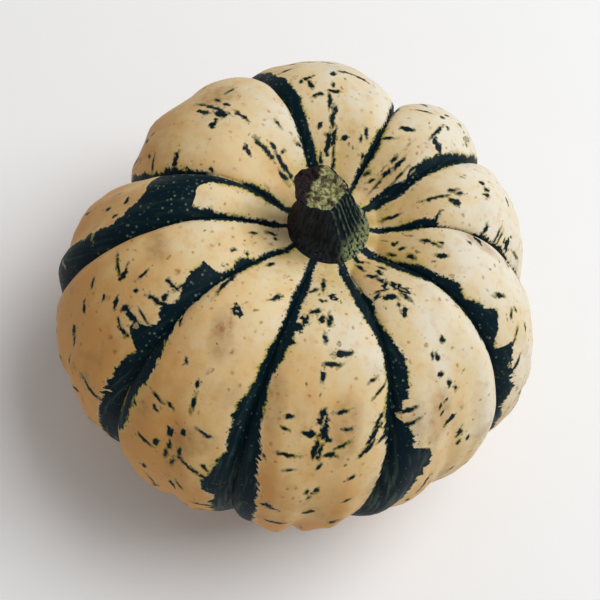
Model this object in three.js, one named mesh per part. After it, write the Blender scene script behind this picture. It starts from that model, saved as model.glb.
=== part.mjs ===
// A sweet dumpling squash: a ribbed, flattened fruit with the dry stub of its stem in the top hollow.
// Units are millimetres and +Z is up. The fruit stands on the plane z = 0, and the origin lies
// under the middle of the fruit's box.
import * as THREE from "three";

// ---- Driving dimensions: the fruit ----
const MEAN_RADIUS = 57;
const HALF_HEIGHT = 42.5;
const STEM_HOLLOW = { depth: 20, width: 22 };
const BLOSSOM_DIMPLE = { depth: 5, width: 16 };
// Below 1 the side is fuller than an ellipse.
const SIDE_FULLNESS = 0.9;
// The two ends of the core lie beside the middle of the fruit, which grew a little lopsided.
const CORE_SHIFT = { x: 1.5, y: 7.9, lowerShare: 0.5 };
const CORE_TWIST = -4;
const FOOT_TRIM = 1.2;

// Each rib starts at a furrow and ends at the next one, clockwise as seen from above.
// azimuth: the furrow's direction at the shoulder, in degrees; drift: how far it wanders on its way down;
// crest: the reach of the rib's middle; valley: the reach beside the furrow; notch: the furrow's depth low down.
const RIBS = [
  { azimuth: 128, drift: -5, crest: 61, valley: 60, notch: 4 },
  { azimuth: 83, drift: 2, crest: 61, valley: 58, notch: 6.5 },
  { azimuth: 52, drift: 13, crest: 58, valley: 59, notch: 4 },
  { azimuth: 20, drift: -1, crest: 58, valley: 56, notch: 4 },
  { azimuth: -11, drift: -12, crest: 54, valley: 58, notch: 4.5 },
  { azimuth: -48, drift: -17, crest: 55, valley: 56, notch: 4 },
  { azimuth: -91, drift: 7, crest: 56, valley: 56, notch: 4 },
  { azimuth: -125, drift: 10, crest: 57, valley: 57, notch: 4 },
  { azimuth: -156, drift: -6, crest: 55, valley: 59, notch: 4.5 },
  { azimuth: -180, drift: -32, crest: 56, valley: 52, notch: 4 },
];
const SHOULDER_FURROW = 5;
const FURROW_AT_STEM = 0.3;
const RIB_SQUARENESS = 2.3;
// A shallow groove runs down the middle of each rib, on the lower half of the fruit.
const MID_GROOVE = { depth: 1.2, halfWidth: 0.16 };

// ---- Driving dimensions: the stem stub ----
const SEAT_RADIUS = 10.9;
const SEAT_POLAR = Math.asin((SEAT_RADIUS / MEAN_RADIUS) ** (1 / SIDE_FULLNESS));
const SEAT_GAP = 0.3;
// lean: how far the cut end lies beside the foot; footOffset: how far the foot lies beside the hollow's middle.
const STEM = {
  height: 17,
  footRadius: 9.7,
  neckRadius: 7,
  topRadius: 5.4,
  flareHeight: 3.5,
  lean: { x: -4.5, y: -0.8 },
  footOffset: { x: -0.4, y: 0 },
  cutSlope: 0.1,
};
const STEM_RIDGES = { count: 5, height: 0.06, startDegrees: 20 };

// ---- Mesh fineness ----
const FRUIT_ROWS = 28;
const SEGMENTS_PER_RIB = 10;
const STEM_ROWS = 14;
const STEM_SEGMENTS = 40;

const radians = THREE.MathUtils.degToRad;
const mix = THREE.MathUtils.lerp;
const clamp = THREE.MathUtils.clamp;

function smoothStep(start, end, value) {
  const t = clamp((value - start) / (end - start), 0, 1);
  return t * t * (3 - 2 * t);
}

// The height of the ribs' crests above the fruit's middle, before any furrow is cut.
function crestHeight(polar) {
  const distance = MEAN_RADIUS * Math.sin(polar) ** SIDE_FULLNESS;
  if (polar < Math.PI / 2) {
    return HALF_HEIGHT * Math.cos(polar)
      - STEM_HOLLOW.depth * Math.exp(-((distance / STEM_HOLLOW.width) ** 2));
  }
  return HALF_HEIGHT * Math.cos(polar)
    + BLOSSOM_DIMPLE.depth * Math.exp(-((distance / BLOSSOM_DIMPLE.width) ** 2));
}

// How far the skin lies below the smooth body: the furrows, and the groove down the rib's middle.
// across runs from -1 at the rib's first furrow to 1 at its second.
function inset(polar, across, notch) {
  const lowness = smoothStep(0.5, 1.2, polar);
  const furrow = mix(SHOULDER_FURROW, notch, lowness) * Math.sin(polar) ** 0.8 + FURROW_AT_STEM;
  const roundness = mix(0.5, 1.2, smoothStep(1.0, 2.4, polar));
  const hump = clamp(1 - Math.abs(across) ** RIB_SQUARENESS, 0, 1) ** roundness;
  const grooveFade = smoothStep(1.0, 1.9, polar) * (1 - smoothStep(2.5, 2.95, polar));
  const groove = MID_GROOVE.depth * grooveFade * Math.exp(-((across / MID_GROOVE.halfWidth) ** 2));
  return furrow * (1 - hump) + groove;
}

// A point of the skin. polar runs from 0 at the stem end to pi at the blossom end.
function skinPoint(polar, ribIndex, across) {
  const first = RIBS[ribIndex];
  const second = RIBS[(ribIndex + 1) % RIBS.length];
  const turn = ribIndex + 1 === RIBS.length ? -360 : 0;
  const share = (across + 1) / 2;
  const drift = smoothStep(0.5, 2.7, polar);
  const start = first.azimuth + first.drift * drift;
  const end = second.azimuth + second.drift * drift + turn;
  const twist = CORE_TWIST * (1 - Math.sin(polar / 2));
  const azimuth = radians(mix(start, end, share) + twist);

  const valley = across < 0 ? first.valley : second.valley;
  const reach = mix(valley, first.crest, smoothStep(0, 1, 1 - Math.abs(across)));
  const depth = inset(polar, across, mix(first.notch, second.notch, share));
  const normal = new THREE.Vector2(HALF_HEIGHT * Math.sin(polar), MEAN_RADIUS * Math.cos(polar)).normalize();
  const distance = reach * Math.sin(polar) ** SIDE_FULLNESS - depth * normal.x;
  const height = crestHeight(polar) - depth * normal.y;

  const shift = Math.cos(polar) ** 2 * (polar < Math.PI / 2 ? 1 : CORE_SHIFT.lowerShare);
  return new THREE.Vector3(
    distance * Math.cos(azimuth) + CORE_SHIFT.x * shift,
    distance * Math.sin(azimuth) + CORE_SHIFT.y * shift,
    height,
  );
}

// A closed body from rings of points between two end points. Rings run clockwise as seen from above,
// from the top ring to the bottom one.
function closedBody(topPoint, rings, bottomPoint) {
  const count = rings[0].length;
  const points = [topPoint, ...rings.flat(), bottomPoint];
  const lastIndex = points.length - 1;
  const at = (row, column) => 1 + row * count + (column % count);
  const indices = [];
  for (let column = 0; column < count; column += 1) {
    indices.push(0, at(0, column + 1), at(0, column));
    for (let row = 0; row + 1 < rings.length; row += 1) {
      indices.push(at(row, column), at(row, column + 1), at(row + 1, column));
      indices.push(at(row, column + 1), at(row + 1, column + 1), at(row + 1, column));
    }
    indices.push(lastIndex, at(rings.length - 1, column), at(rings.length - 1, column + 1));
  }
  const geometry = new THREE.BufferGeometry().setFromPoints(points);
  geometry.setIndex(indices);
  geometry.computeVertexNormals();
  return geometry;
}

// The fruit's skin, with a level seat for the stem in the hollow and a small level foot underneath.
function fruitGeometry(seatHeight) {
  const rings = [];
  for (let row = 0; row < FRUIT_ROWS; row += 1) {
    const polar = mix(SEAT_POLAR, Math.PI, row / FRUIT_ROWS);
    const ring = [];
    for (let ribIndex = 0; ribIndex < RIBS.length; ribIndex += 1) {
      for (let segment = 0; segment < SEGMENTS_PER_RIB; segment += 1) {
        // Segments crowd towards the furrows, where the skin bends most.
        const across = -Math.cos((Math.PI * segment) / SEGMENTS_PER_RIB);
        ring.push(skinPoint(polar, ribIndex, across));
      }
    }
    rings.push(ring);
  }
  const topPoint = skinPoint(0, 0, 0);
  const bottomPoint = skinPoint(Math.PI, 0, 0);

  const points = [topPoint, ...rings.flat(), bottomPoint];
  const lowest = Math.min(...points.map((point) => point.z));
  const footHeight = lowest + FOOT_TRIM;
  for (const point of points) {
    const beside = Math.hypot(point.x - topPoint.x, point.y - topPoint.y);
    const overSeat = point.z > 0 && beside < STEM_HOLLOW.width;
    point.z = Math.max(point.z, overSeat ? seatHeight : footHeight);
  }
  return { geometry: closedBody(topPoint, rings, bottomPoint), footHeight };
}

// The stem stub: a flared foot, five blunt ridges, a slight lean, and an oblique cut at the top.
function stemGeometry() {
  const rings = [];
  const centreAt = (share) => {
    const bend = share ** 1.4;
    return new THREE.Vector3(STEM.lean.x * bend, STEM.lean.y * bend, STEM.height * share);
  };
  for (let row = 0; row <= STEM_ROWS; row += 1) {
    const share = 1 - row / STEM_ROWS;
    const flare = (STEM.footRadius - STEM.neckRadius) * Math.exp(-(STEM.height * share) / STEM.flareHeight);
    const radius = mix(STEM.neckRadius, STEM.topRadius, share) + flare;
    const centre = centreAt(share);
    const ring = [];
    for (let segment = 0; segment < STEM_SEGMENTS; segment += 1) {
      const angle = (-2 * Math.PI * segment) / STEM_SEGMENTS;
      const ridge = Math.cos(STEM_RIDGES.count * (angle - radians(STEM_RIDGES.startDegrees)));
      const reach = radius * (1 + STEM_RIDGES.height * ridge * smoothStep(0, 0.15, share));
      const slope = STEM.cutSlope * reach * Math.cos(angle) * smoothStep(0.5, 1, share);
      ring.push(new THREE.Vector3(
        centre.x + reach * Math.cos(angle),
        centre.y + reach * Math.sin(angle),
        centre.z + slope,
      ));
    }
    rings.push(ring);
  }
  return closedBody(centreAt(1), rings, centreAt(0));
}

function buildFruit(seatHeight) {
  const { geometry, footHeight } = fruitGeometry(seatHeight);
  const material = new THREE.MeshStandardMaterial({ color: 0xdccba0, roughness: 0.4, metalness: 0 });
  const mesh = new THREE.Mesh(geometry, material);
  mesh.name = "squash_fruit";
  return { mesh, footHeight };
}

function buildStem(seatHeight) {
  const material = new THREE.MeshStandardMaterial({ color: 0x3f4a30, roughness: 0.85, metalness: 0 });
  const mesh = new THREE.Mesh(stemGeometry(), material);
  mesh.name = "stem_stub";
  mesh.position.set(
    CORE_SHIFT.x + STEM.footOffset.x,
    CORE_SHIFT.y + STEM.footOffset.y,
    seatHeight + SEAT_GAP,
  );
  return mesh;
}

const seatHeight = crestHeight(SEAT_POLAR);
const fruit = buildFruit(seatHeight);
const fruitBox = new THREE.Box3().setFromObject(fruit.mesh);
const middle = fruitBox.getCenter(new THREE.Vector3());

const squash = new THREE.Group();
squash.add(fruit.mesh, buildStem(seatHeight));
squash.position.set(-middle.x, -middle.y, -fruit.footHeight);

export default squash;
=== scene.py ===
"""The looks of a sweet dumpling squash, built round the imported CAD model.

The fruit and the stem stub are fine meshes that repeat the formulas of the CAD source. The fruit's stripes
and flecks are placed in skin coordinates: the rib, the degrees down from the stem end, and the place
across the rib. They reach the material as mesh attributes that hold distances in millimetres.
"""
import math

import bpy
import numpy as np
from mathutils import Matrix, Vector, noise


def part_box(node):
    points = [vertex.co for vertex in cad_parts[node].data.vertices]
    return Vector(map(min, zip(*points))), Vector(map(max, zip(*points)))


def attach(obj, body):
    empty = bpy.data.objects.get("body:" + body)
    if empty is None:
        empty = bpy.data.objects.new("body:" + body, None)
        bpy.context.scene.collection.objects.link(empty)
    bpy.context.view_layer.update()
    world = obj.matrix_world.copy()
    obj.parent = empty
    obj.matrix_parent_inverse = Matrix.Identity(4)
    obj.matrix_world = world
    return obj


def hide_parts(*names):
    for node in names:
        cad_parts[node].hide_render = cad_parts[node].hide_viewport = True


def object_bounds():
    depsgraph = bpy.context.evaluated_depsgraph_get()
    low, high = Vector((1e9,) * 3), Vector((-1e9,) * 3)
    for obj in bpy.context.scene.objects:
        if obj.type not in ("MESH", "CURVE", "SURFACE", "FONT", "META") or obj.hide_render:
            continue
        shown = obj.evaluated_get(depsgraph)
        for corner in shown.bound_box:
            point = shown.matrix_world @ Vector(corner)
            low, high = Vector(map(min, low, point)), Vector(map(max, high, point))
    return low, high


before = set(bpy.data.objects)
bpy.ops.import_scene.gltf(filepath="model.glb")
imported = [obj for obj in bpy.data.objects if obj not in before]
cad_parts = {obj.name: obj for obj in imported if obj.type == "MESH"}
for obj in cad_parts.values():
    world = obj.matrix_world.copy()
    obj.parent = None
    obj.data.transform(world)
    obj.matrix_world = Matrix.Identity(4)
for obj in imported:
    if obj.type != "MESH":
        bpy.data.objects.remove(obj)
CAD_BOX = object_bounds()
FRUIT_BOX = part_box("squash_fruit")
STEM_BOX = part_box("stem_stub")
MM = 0.001

# ---- The fruit's form, as in the CAD source (millimetres and degrees) ----
MEAN_RADIUS = 57
HALF_HEIGHT = 42.5
STEM_HOLLOW_DEPTH, STEM_HOLLOW_WIDTH = 20, 22
BLOSSOM_DIMPLE_DEPTH, BLOSSOM_DIMPLE_WIDTH = 5, 16
SIDE_FULLNESS = 0.9
CORE_SHIFT_X, CORE_SHIFT_Y, CORE_SHIFT_LOWER_SHARE = 1.5, 7.9, 0.5
CORE_TWIST = -4
FOOT_TRIM = 1.2
SHOULDER_FURROW = 5
FURROW_AT_STEM = 0.3
RIB_SQUARENESS = 2.3
MID_GROOVE_DEPTH, MID_GROOVE_HALF_WIDTH = 1.2, 0.16
SEAT_RADIUS = 10.9
SEAT_POLAR = math.asin((SEAT_RADIUS / MEAN_RADIUS) ** (1 / SIDE_FULLNESS))
# azimuth, drift, crest, valley, notch. Each rib starts at a furrow and ends at the next one, clockwise from
# above.
RIBS = np.array([
    (128, -5, 61, 60, 4),
    (83, 2, 61, 58, 6.5),
    (52, 13, 58, 59, 4),
    (20, -1, 58, 56, 4),
    (-11, -12, 54, 58, 4.5),
    (-48, -17, 55, 56, 4),
    (-91, 7, 56, 56, 4),
    (-125, 10, 57, 57, 4),
    (-156, -6, 55, 59, 4.5),
    (-180, -32, 56, 52, 4),
], dtype=float)
RIB_COUNT = len(RIBS)
FRUIT_ROWS = 300
CELLS_PER_RIB = 32

# ---- The dark stripe along each furrow ----
# Stations of (degrees down, mm on the rib before the furrow, mm on the rib after it).
# Every stripe ends alike.
STRIPE_END = [(160, 1, 1), (172, -1, -1)]
STRIPES = {
    1: [(8, 0.3, 1), (12, 0.4, 2), (20, 0.4, 2.1), (25, 0.1, 2.4), (30, 0, 3), (40, -0.4, 3), (50, -0.3, 2.5),
        (65, 1, 2.5), (90, 3, 3.5), (125, 3, 3.5)],
    2: [(8, 0.5, 0.4), (15, 0.9, 0.6), (18, 0.8, 0.9), (20, 0.9, 1.3), (23, 1, 0.5), (28, 0.5, 0.4),
        (32, 0.8, 0.2), (40, 1, 0.6), (55, 1.5, 1), (75, 3, 2.5), (100, 4, 3), (130, 3, 3)],
    3: [(8, 0.2, 0.2), (10, 1.4, 1.3), (13, 1.8, 1.4), (16, 1.4, 1.6), (18, 0.6, 1.2), (20, 2.4, 1),
        (30, 2.4, 0.9), (35, 1.8, 0.9), (40, 1.2, 1), (45, 1.2, 0.5), (60, 1.5, 1.5), (80, 3, 2.5),
        (105, 4, 3), (130, 3, 3)],
    4: [(8, 0.6, 0.6), (10, 0.7, 0.8), (13, 0.5, 0.6), (15, 0.7, 0.8), (18, 1.4, 0.9), (20, 1.8, 0.6),
        (22, 1.3, 0.5), (24, 0.1, 0.5), (30, 0.1, 0.4), (34, 0.1, 1), (36, 0.3, 0.6), (40, 1, 0.3),
        (45, 0.8, 0.3), (50, 1.2, 0.2), (55, 0.3, 0.3), (65, 1, 1), (80, 2.5, 2), (105, 4, 3), (130, 3, 3)],
    5: [(8, 0.5, 1.5), (15, 0.3, 1.8), (20, 1.5, 1.6), (25, 1.5, 0.6), (30, 2.8, 0.4), (34, 1.3, 0.5),
        (37, 2.6, 0.5), (40, 3.2, 0.5), (43, 5.8, 0.6), (46, 4, 0.7), (49, 1.6, 0.7), (51, 1.5, 0.7),
        (54, 5.2, 0.7), (57, 5.5, 0.7), (60, 4.2, 0.7), (65, 4.2, 0.5), (70, 3.8, 0.3), (74, 1.5, 0.3),
        (78, 2.5, 0.5), (90, 3, 2), (120, 4, 3), (140, 3, 2.5)],
    6: [(8, 0, 1.5), (10, 0, 2.1), (15, -0.2, 2.4), (20, 0.8, 2.8), (25, 0.3, 2.2), (30, 1.2, 1.2),
        (35, 2.8, 0.6), (40, 3.6, 0.7), (45, 3, 1.5), (50, 1, 2.2), (55, 4, 1.8), (60, 5.5, 1),
        (64, 10.5, 1.2), (70, 11, 1.5), (75, 9, 1.5), (80, 8.5, 1.5), (95, 6, 3), (120, 4, 3.5),
        (140, 3, 2.5)],
    7: [(8, 0.6, 0.8), (10, 0.7, 1), (15, 1.5, 0.7), (20, 1.6, 1), (25, 1.9, 0.5), (30, 2.4, 0.6),
        (31, 3.8, 0.7), (32, 2.4, 0.8), (35, 2.4, 0.9), (40, 1.3, 1.3), (45, 2, 2), (50, 2.6, 3),
        (55, 3.2, 3.1), (60, 4.6, 2.8), (65, 5, 4), (70, 5.8, 5), (75, 5.6, 6), (80, 6, 4), (95, 5, 4),
        (120, 4, 3.5), (140, 3, 2.5)],
    8: [(8, 0.5, 0.5), (10, 0.6, 0.6), (15, 0.5, 1), (18, 0.8, 0.4), (20, 0.8, 1.2), (21, 0.8, 1.8),
        (23, 0.9, 1.6), (24, 0.9, 0.6), (27, 0.5, 1.1), (28, 0.4, 2), (29, 0.3, 5.2), (30.5, 0.3, 4.6),
        (33, 0.3, 4.8), (35, 0.6, 4.2), (36.5, 0.6, 3.2), (38, 0.3, 2.3), (40, 0.3, 2.4), (42, 0.8, 3.6),
        (43, 1, 3.6), (45, 1.7, 2.5), (48, 2.6, 2.4), (49, 2.9, 4), (50, 3.2, 5.6), (52, 3.5, 6),
        (54, 4, 3.5), (55, 4.5, 1.8), (57, 4.4, 3), (60, 3.3, 3.4), (65, 3.8, 3.9), (70, 4.3, 3.5),
        (75, 4.1, 4.5), (78, 3.5, 4.8), (80, 0.8, 4.8), (85, 0.8, 4.5), (95, 2.5, 4), (120, 3, 3.5),
        (140, 3, 2.5)],
    9: [(8, 0.4, 0.5), (10, 0.5, 0.8), (15, 0.7, 0.5), (20, 1.2, 0.6), (23, 1, 0.8), (25, 0.9, 1.4),
        (29, 0.4, 1.9), (29.5, 0.3, 4), (30.5, 0.3, 8), (35, 0.4, 8), (40, -0.4, 9), (44, -0.2, 10),
        (45.5, 0, 8), (48, 0, 6.5), (50, 0.2, 5.5), (52, 0.2, 4.5), (56, 0.2, 5), (61, 0.1, 5.5),
        (66, 0, 5.5), (70, 0, 6), (75, 0, 7), (80, 0, 8), (95, 2, 5), (120, 3, 3.5), (140, 3, 2.5)],
    10: [(8, 0.6, 0.5), (10, 0.9, 0.7), (15, 1.2, 1.1), (18, 1.4, 1), (20, 1.6, 0.8), (25, 2.8, -0.6),
         (28, 3.2, -0.2), (29.5, 4.5, 0.3), (30.5, 7, 0.3), (35, 7, 0.9), (40, 8, 1), (44, 8, 1.4),
         (45.5, 5, 1.3), (46.5, 0.5, 1.2), (55, 0.5, 1), (70, 2, 2), (90, 3, 3), (120, 3, 3.5),
         (140, 3, 2.5)],
}

# ---- Flecks ----
# (degrees down, place across the rib from -1 to 1, length, width, turn). Lengths are in mm. A turn of 0 lies
# along the rib, and a positive one leans towards the rib's second furrow on its way down.
DARK_FLECKS = {
    1: [(12.5, -.1, 2.2, .8, 0), (14.5, -.12, 2, .4, 0), (16.5, -.3, 4.8, 1.2, 0), (17.8, -.12, 3.6, 1.2, 5),
        (18, .15, 1.6, 1.1, 60), (22.5, -.18, 4, .9, 0), (27, -.22, 4, .8, 0), (24, -.12, 1.6, 1.2, 0),
        (30, -.14, 2.6, 1, 90), (29, -.42, 2.2, .9, 80), (32.5, -.12, 1.3, .7, 0), (33, -.5, 2.2, 1.1, -15),
        (36.5, -.48, 2.2, 1.3, 70), (35.5, -.62, 1.2, .8, 0), (38.5, -.08, 1.8, 1.1, 10),
        (40.5, .12, 2.5, .7, 85), (40.5, .36, 2.8, 1, 95), (45, -.7, 2.4, .7, 90), (31.5, -.84, 1.7, .8, -35),
        (20.5, -.5, 1, .9, 0), (13.5, -.55, 1.9, .7, -5), (21.5, .68, 1.7, .9, -5), (19.5, .6, 1.1, .9, 0),
        (16.5, .82, 1, .8, 0)],
    2: [(12.5, .12, 2.8, .5, 0), (14.8, .1, 2.4, 1.1, 0), (18, .2, 3.6, .9, 0), (18.5, -.06, 1.8, .8, 0),
        (12.3, -.25, 1.3, .8, 40), (13.5, -.65, 1.4, 1, 0), (17.5, -.85, .9, .8, 0), (23, -.75, 2.2, .8, 80),
        (27.3, -.42, 2.6, 1.2, 74), (33, .2, 4.8, .8, -5), (30, .5, 3.2, 1.6, 90), (38, .25, .9, .8, 0),
        (41, -.02, 1, .8, 0), (39, -.42, 2.8, .7, 80), (17, .58, 3.6, .5, 0)],
    3: [(12.3, .28, 3.2, .7, 0), (20.5, .02, 1.2, 1.1, 0), (22.3, .02, 4.4, .6, 2), (27, -.08, 1.9, .9, 0),
        (28.5, .04, 1.6, .8, 10), (27, .28, 2.4, 1.2, 50), (22.5, .72, 2.6, 1.1, -65), (38, -.25, 1.1, .8, 0),
        (39, -.1, 1.5, 1.1, -20), (38, .05, 1.4, .7, 0), (50, 0, 1.6, .8, 90), (38, .82, 2.3, 1, -80),
        (44, .8, 2.8, .6, -75), (45.5, .8, 2, .5, -75), (50, .8, 3.2, 2.2, -80), (58, .8, 2.6, .5, 10)],
    4: [(13, -.03, 1.5, .9, -24), (14.5, .25, 1.2, .8, -15), (13.2, .69, 1.4, .6, 10), (17.5, .59, 2, .9, 20),
        (19.3, -.23, 1.9, .8, 0), (21.3, -.16, 1.7, .6, 12), (22.8, -.25, .8, .8, 0), (23.5, .2, 2.1, 1, -8),
        (30.5, -.56, 1, .8, 0), (34.5, -.78, 2.2, 1.6, 80), (42, .25, 2.4, .9, -30), (48.5, .3, 1.5, .7, 60),
        (49.5, .15, .9, .7, 0), (47, -.7, 1.4, .7, 0), (57, .15, 1.6, 1, 20), (54, .4, 2, .6, 60),
        (55, .55, 1.8, .9, 84), (53.5, .78, .9, .8, 0), (62, .62, 3.5, .7, 75)],
    5: [(9, .05, 3.2, 1, -25), (11, .33, 2.2, .7, 0), (14, -.38, 1.6, .5, -20), (14.7, -.1, 1.8, .9, 0),
        (14.5, .25, 2.2, .9, -30), (16.5, .17, 2.2, .9, 0), (18.3, .2, 2, 1, 45), (19, .4, 2.6, .7, 115),
        (19.5, .65, 2, .9, 70), (19.5, 0, 1.5, 1.1, -20), (22, -.1, 3.4, 1.5, -20), (24, -.02, 2.9, .9, -8),
        (21.5, .35, 2.6, 1.1, -45), (24.5, .3, .9, .8, 0), (26.6, .27, 1.7, 1.4, 0), (38, -.17, 1, .9, 0),
        (40, .17, 1.2, 1.1, 0), (41, .07, 1.2, 1, 0), (45.5, .1, 1.2, 1, 80), (49, -.02, 1.4, 1, -10),
        (51.5, -.12, 1.1, .8, 0), (53, .08, 1, .7, 70), (53.5, .2, 1, .7, 60), (55.7, .17, 1.1, .7, 70),
        (59.7, .05, 2.6, 1.4, 70), (66, -.15, 2, 1.3, 0), (70, -.15, 1, .8, 0), (70, -.3, 1, .8, 0),
        (49, .74, 3, .9, 92), (52.5, .72, 3.2, .8, 92)],
    6: [(14.5, .3, 4, .8, 5), (16.5, .6, 1.8, .8, 45), (19, .33, .8, .8, 0), (19, .2, .7, .7, 0),
        (18, -.03, 2, 1.6, 0), (22.5, .45, 1.9, 1.1, 60), (25, .62, 2.2, 1.8, 10), (27, .7, 2.6, 1.8, 10),
        (24.2, .26, 1.5, 1.2, 30), (24.3, .09, 2.8, .9, 0), (28.8, .16, 1.7, .8, -15),
        (32.3, -.12, 2.2, 1.4, 90),
        (32.1, -.27, 1.4, .8, 90), (34.7, 0, 3, .8, 90), (37.5, .13, 2.2, .8, 0), (38.8, -.68, 1.6, .7, 65),
        (41.5, -.8, 3, .6, 45), (47.5, .5, 1.6, .9, 90), (50.5, .5, 1.5, .8, 110), (47, .06, 3, 1.2, 10),
        (50, -.02, 4.5, 1.5, -5), (54.5, .07, 4.6, 1.1, 8), (55.5, 0, 3.5, .9, 5), (51, .18, 2.3, 1.3, 95),
        (52.5, -.08, 1.3, .8, 100), (45.6, -.22, 2.8, .9, 80), (50, -.3, 1.8, .8, 88),
        (54, -.28, 2.6, .8, 62),
        (56.5, -.14, 2.4, 1.1, 90), (57, .4, 3.6, .8, 92), (56, .82, 1.2, .8, 130), (59, .68, 1.3, .7, 130),
        (61, .33, 1.6, .6, 85), (59.7, -.03, 1.4, .8, 25), (63.5, -.47, 1.3, .7, 60),
        (68, -.07, 1.7, 1.3, 20),
        (68, .05, 1, .8, 0), (70.5, 0, 1.1, .8, 0), (79, -.08, 1.9, 1.2, 60), (75, .5, 2, 1.3, 70),
        (76, .4, 2, .6, 100), (70, .72, 1, .6, 120), (72, -.5, 1.4, .5, 60), (49, -.76, 4, 1.1, 28),
        (52, -.7, 4.5, 1.2, 32), (55.5, -.62, 3.6, 1, 45), (54, -.84, 2.6, .8, 60)],
    7: [(16, .55, 2.2, .8, 20), (22.6, -.45, 2.4, .9, 22), (22.1, -.5, 1.3, .8, -40), (30.7, .1, 2, 2, 0),
        (28, .81, 5, .8, 0), (25.5, .84, 2.5, .8, 0), (46.3, .33, 1.3, .9, -20), (49, -.05, 1.3, .9, -25),
        (41.3, .88, 1.3, .9, -30), (53, -.12, 2.8, .85, -8), (58, .42, 2.5, .65, -85),
        (60.7, .36, 1.4, .8, -75), (57.5, .18, 1.6, .8, -75), (61.3, -.16, 1.1, 1, 0),
        (58.7, -.45, 2.6, .7, -80),
        (63.7, .02, 1.8, 1.6, 0), (67.5, -.02, 1.8, 1.1, -10), (67.5, -.2, 2.4, .8, 0),
        (70, -.38, 5.5, .9, -65),
        (71.7, -.62, 2.2, 1.3, -75), (72.5, -.12, 2.6, 1, 15), (71, 0, 1.6, .7, 0), (71, .33, 3.2, .8, -80),
        (69, .17, 1.3, 1, 0), (68.3, -.6, 1.8, .9, -60), (82.5, .3, 1.6, 1.3, 0), (83.5, -.15, 2.4, 1.6, -40),
        (80, -.28, 2, .9, -45), (87.5, -.6, 4, .9, 90)],
    8: [(11.5, .28, 2.2, .7, 10), (11.2, -.12, 1.2, .7, 0), (15.7, .22, 1.6, .7, 0), (22, -.38, 1.1, .7, 0),
        (19.5, -.63, .9, .8, 0), (31.5, -.5, 1, .8, 0), (36.6, -.6, 2.4, .6, 0), (37.8, -.53, 1.8, .6, 63),
        (38.2, -.36, 1, .9, 0), (38, -.42, 1.2, .5, 80), (42.3, -.64, 2.6, 1, 60), (43.3, -.45, 3, .8, 58),
        (40.8, -.58, 1.6, .8, -20), (48.7, .46, 4.9, .85, -85), (48.2, .27, 1.8, 1.6, 0),
        (47.2, .31, 2.2, .8, -42),
        (43.3, .06, 1.9, .6, -10), (46.3, -.12, .9, .8, 0), (52.3, -.06, 2.2, 1, -45),
        (55.3, .15, 1.2, .9, -10),
        (57.5, .5, 1.9, .9, -40), (62.5, .27, 2.2, .9, -60), (70, .15, 1.9, 1.3, -20),
        (72, .05, 1.7, .9, -20),
        (54, -.36, 1.8, .7, -65), (50.2, -.38, 4.6, 1.3, 75), (50.8, -.27, 1.8, 1.4, 20),
        (54.3, -.5, 3, 1, 80),
        (47.7, -.57, 2.3, .45, -87), (83, 0, 4.5, .8, 0), (76, -.55, 6, 1, 88)],
    9: [(50, 0, 1.6, 1.4, 0), (52.5, -.33, 1.2, 1, 0), (57, -.05, 1.2, .8, 0), (69, .05, 2.5, .9, 0)],
    10: [(15, .16, 7, .9, 3), (20.3, 0, 5.5, 1.1, 0), (13.5, -.05, 3.2, .9, 0), (23.5, -.3, 1.9, 1.5, 0),
         (20, .22, 1.6, .9, 0), (17.5, .35, 1.2, .9, 90), (17.5, .88, 1.2, 1, 0), (23.5, .6, 1.9, .7, 10),
         (31.5, .18, 3, .9, 4), (41, .08, 8.5, .9, 0), (36.5, .02, 3, 1.6, 0), (35.5, -.18, 2.4, 1.4, 90),
         (42, -.05, 3.2, 1.3, 0), (38.5, .22, 1.3, .9, 0), (42.5, .22, 2, .8, 0), (43, .45, 1.8, .7, 90),
         (43.5, -.82, 4, 1.7, 90), (54, -.82, 3, .8, 90), (31, -.92, 1, .8, 0)],
}
OLIVE_FLECKS = {
    1: [(17, .33, 1, .7, 0), (16.8, .45, .8, .6, 0), (36, .08, .8, .7, 0), (31.8, .02, .8, .7, 0)],
    2: [(15.5, -.15, 2, .5, 0), (33, -.08, .8, .6, 0), (47, .45, 1.7, .6, 0)],
    3: [(10, .3, 1.5, .3, 0), (32, -.42, 1.3, .6, 30), (47, -.6, .8, .7, 0)],
    4: [(15.5, -.5, 2.1, .6, 0), (10.8, -.15, 1.3, .4, 0), (22.3, .48, .8, .7, 0), (18, .3, 1, .7, 0),
        (27.5, .62, .8, .8, 0), (41.5, -.5, .8, .8, 0), (37, -.1, .8, .7, 0)],
    5: [(23, .65, .8, .8, 0), (48.5, -.32, 1, .5, 60)],
    6: [(17.5, .42, 1.1, .5, 10), (30, -.1, 1.1, .8, 0), (35.5, .12, 1.1, .6, 0), (41.5, .13, .8, .6, 0),
        (39.5, .36, 1, .5, -15), (27, .1, .6, .5, 0), (59.5, -.35, .8, .6, 30), (64.5, -.4, .8, .5, 60),
        (16, -.33, .6, .5, 0), (19, -.22, .7, .5, 0)],
    7: [(15.7, -.33, 1.1, .5, 5), (16.2, -.5, .9, .6, 10), (22.3, -.62, .8, .6, 0), (28, -.22, .9, .6, 30),
        (39.2, .02, .7, .6, 0), (44.2, -.15, .8, .6, 0), (84, -.52, .8, .6, 0)],
    8: [(13.5, -.08, 1.1, .6, 0), (16.3, -.27, 1.1, .6, 5), (18.4, -.12, .8, .6, 0), (26.3, .5, .8, .5, 0),
        (25.7, -.72, .8, .6, 60), (24.9, -.72, .8, .5, 0), (36.2, .1, 1, .6, -30)],
    9: [(56, .33, 1.5, .6, 0)],
    10: [(24, .02, 2.5, 1.4, 0)],
}
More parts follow.
